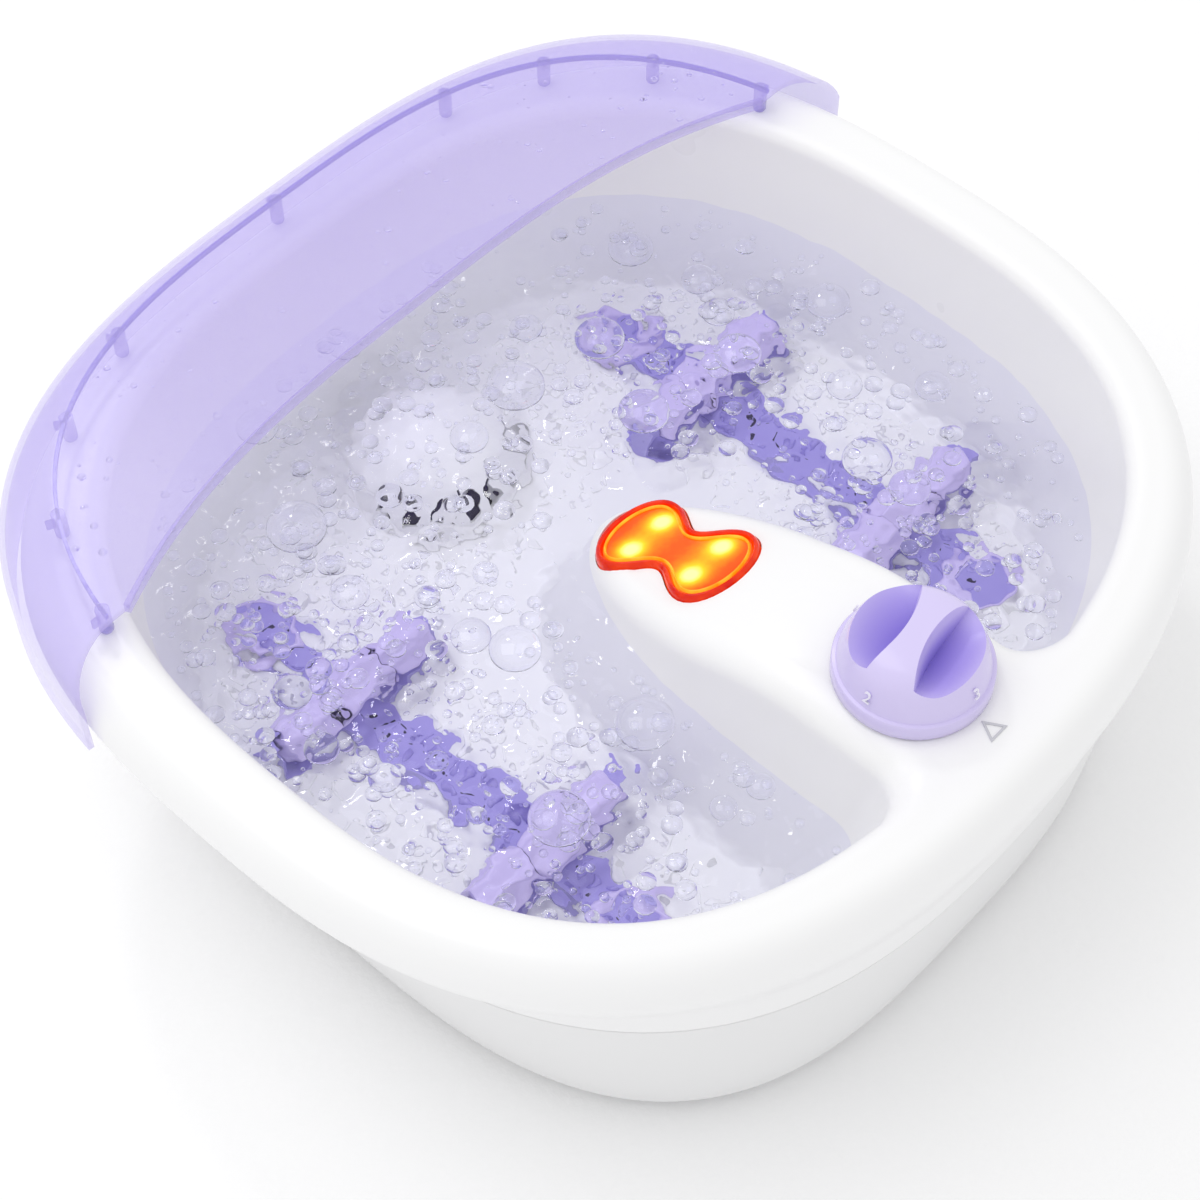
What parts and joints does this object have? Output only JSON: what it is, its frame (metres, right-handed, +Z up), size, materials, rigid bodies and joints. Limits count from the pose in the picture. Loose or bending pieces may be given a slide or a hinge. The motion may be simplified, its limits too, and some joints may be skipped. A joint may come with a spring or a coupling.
{
  "type": "foot spa basin",
  "caption": "White two-well foot spa basin with lift-off translucent lavender splash guard, selector knob, infrared lens, massage rollers and bubble strips.",
  "frame": {"origin": "centre of the bounding box on the surface that the rubber feet stand on", "axes": "+Z up, +X across the two feet, +Y to the toe end with the splash guard"},
  "size_m": [0.3952, 0.3742, 0.1616],
  "materials": {
    "shell_white": "semi-gloss moulded white plastic",
    "pan_white": "satin moulded white plastic",
    "dome_white": "semi-gloss moulded white plastic",
    "foot_rubber": "matt pale grey rubber",
    "bright_steel": "plain zinc-plated steel",
    "guard_lavender": "translucent glossy lavender plastic",
    "knob_lavender": "satin-gloss lavender plastic",
    "strip_lavender": "semi-gloss lavender plastic",
    "roller_lavender": "semi-gloss lavender plastic",
    "lens_red": "clear red plastic, lit orange from inside",
    "board_green": "green circuit board",
    "led_clear": "clear lamp body, lit",
    "dark_rubber": "matt black rubber",
    "black_casing": "matt black plastic",
    "heater_alloy": "mill-finish aluminium",
    "motor_zinc": "zinc-plated steel",
    "weight_brass": "plain brass"
  },
  "bodies": {
    "tub": {"air_hose_left": "dark_rubber", "air_hose_right": "dark_rubber", "air_pump": "black_casing", "axle_left_heel": "bright_steel", "axle_left_toe": "bright_steel", "axle_right_heel": "bright_steel", "axle_right_toe": "bright_steel", "base_pan": "pan_white", "base_screw_1": "bright_steel", "base_screw_2": "bright_steel", "base_screw_3": "bright_steel", "base_screw_4": "bright_steel", "base_screw_5": "bright_steel", "base_screw_6": "bright_steel", "board_screw_1": "bright_steel", "board_screw_2": "bright_steel", "control_board": "board_green", "cord_gland": "dark_rubber", "heater_plate": "heater_alloy", "infrared_board": "board_green", "infrared_led_1": "led_clear", "infrared_led_2": "led_clear", "infrared_led_3": "led_clear", "infrared_led_4": "led_clear", "infrared_lens": "lens_red", "massage_strip_left": "strip_lavender", "massage_strip_right": "strip_lavender", "motor_bracket": "motor_zinc", "rotary_switch": "black_casing", "rubber_foot_back_left": "foot_rubber", "rubber_foot_back_right": "foot_rubber", "rubber_foot_front_left": "foot_rubber", "rubber_foot_front_right": "foot_rubber", "shaft_seal": "dark_rubber", "thermostat": "black_casing", "toe_dome": "dome_white", "tub_shell": "shell_white", "vibration_motor": "motor_zinc"},
    "splash_guard_body": {"splash_guard": "guard_lavender"},
    "knob_body": {"selector_knob": "knob_lavender", "knob_shaft": "bright_steel"},
    "weight_body": {"eccentric_weight": "weight_brass"},
    "roller_left_toe_body": {"roller_left_toe": "roller_lavender"},
    "roller_left_heel_body": {"roller_left_heel": "roller_lavender"},
    "roller_right_toe_body": {"roller_right_toe": "roller_lavender"},
    "roller_right_heel_body": {"roller_right_heel": "roller_lavender"}
  },
  "joints": [
    {"name": "guard_lift", "type": "slide", "parent": "tub", "child": "splash_guard_body", "axis": [0, 0, 1], "range_m": [0, 0.06]},
    {"name": "knob_turn", "type": "hinge", "parent": "tub", "child": "knob_body", "pos_m": [0, -0.13, 0.1356], "axis": [0, 0, 1], "range_deg": [0, 270]},
    {"name": "roller_left_toe_spin", "type": "hinge", "parent": "tub", "child": "roller_left_toe_body", "pos_m": [-0.09901, 0.043, 0.0488], "axis": [1, 0, 0], "continuous": true},
    {"name": "roller_left_heel_spin", "type": "hinge", "parent": "tub", "child": "roller_left_heel_body", "pos_m": [-0.09901, -0.055, 0.0488], "axis": [1, 0, 0], "continuous": true},
    {"name": "roller_right_toe_spin", "type": "hinge", "parent": "tub", "child": "roller_right_toe_body", "pos_m": [0.09901, 0.043, 0.0488], "axis": [1, 0, 0], "continuous": true},
    {"name": "roller_right_heel_spin", "type": "hinge", "parent": "tub", "child": "roller_right_heel_body", "pos_m": [0.09901, -0.055, 0.0488], "axis": [1, 0, 0], "continuous": true},
    {"name": "weight_spin", "type": "hinge", "parent": "tub", "child": "weight_body", "pos_m": [0, -0.04, 0.0173], "axis": [1, 0, 0], "continuous": true}
  ]
}
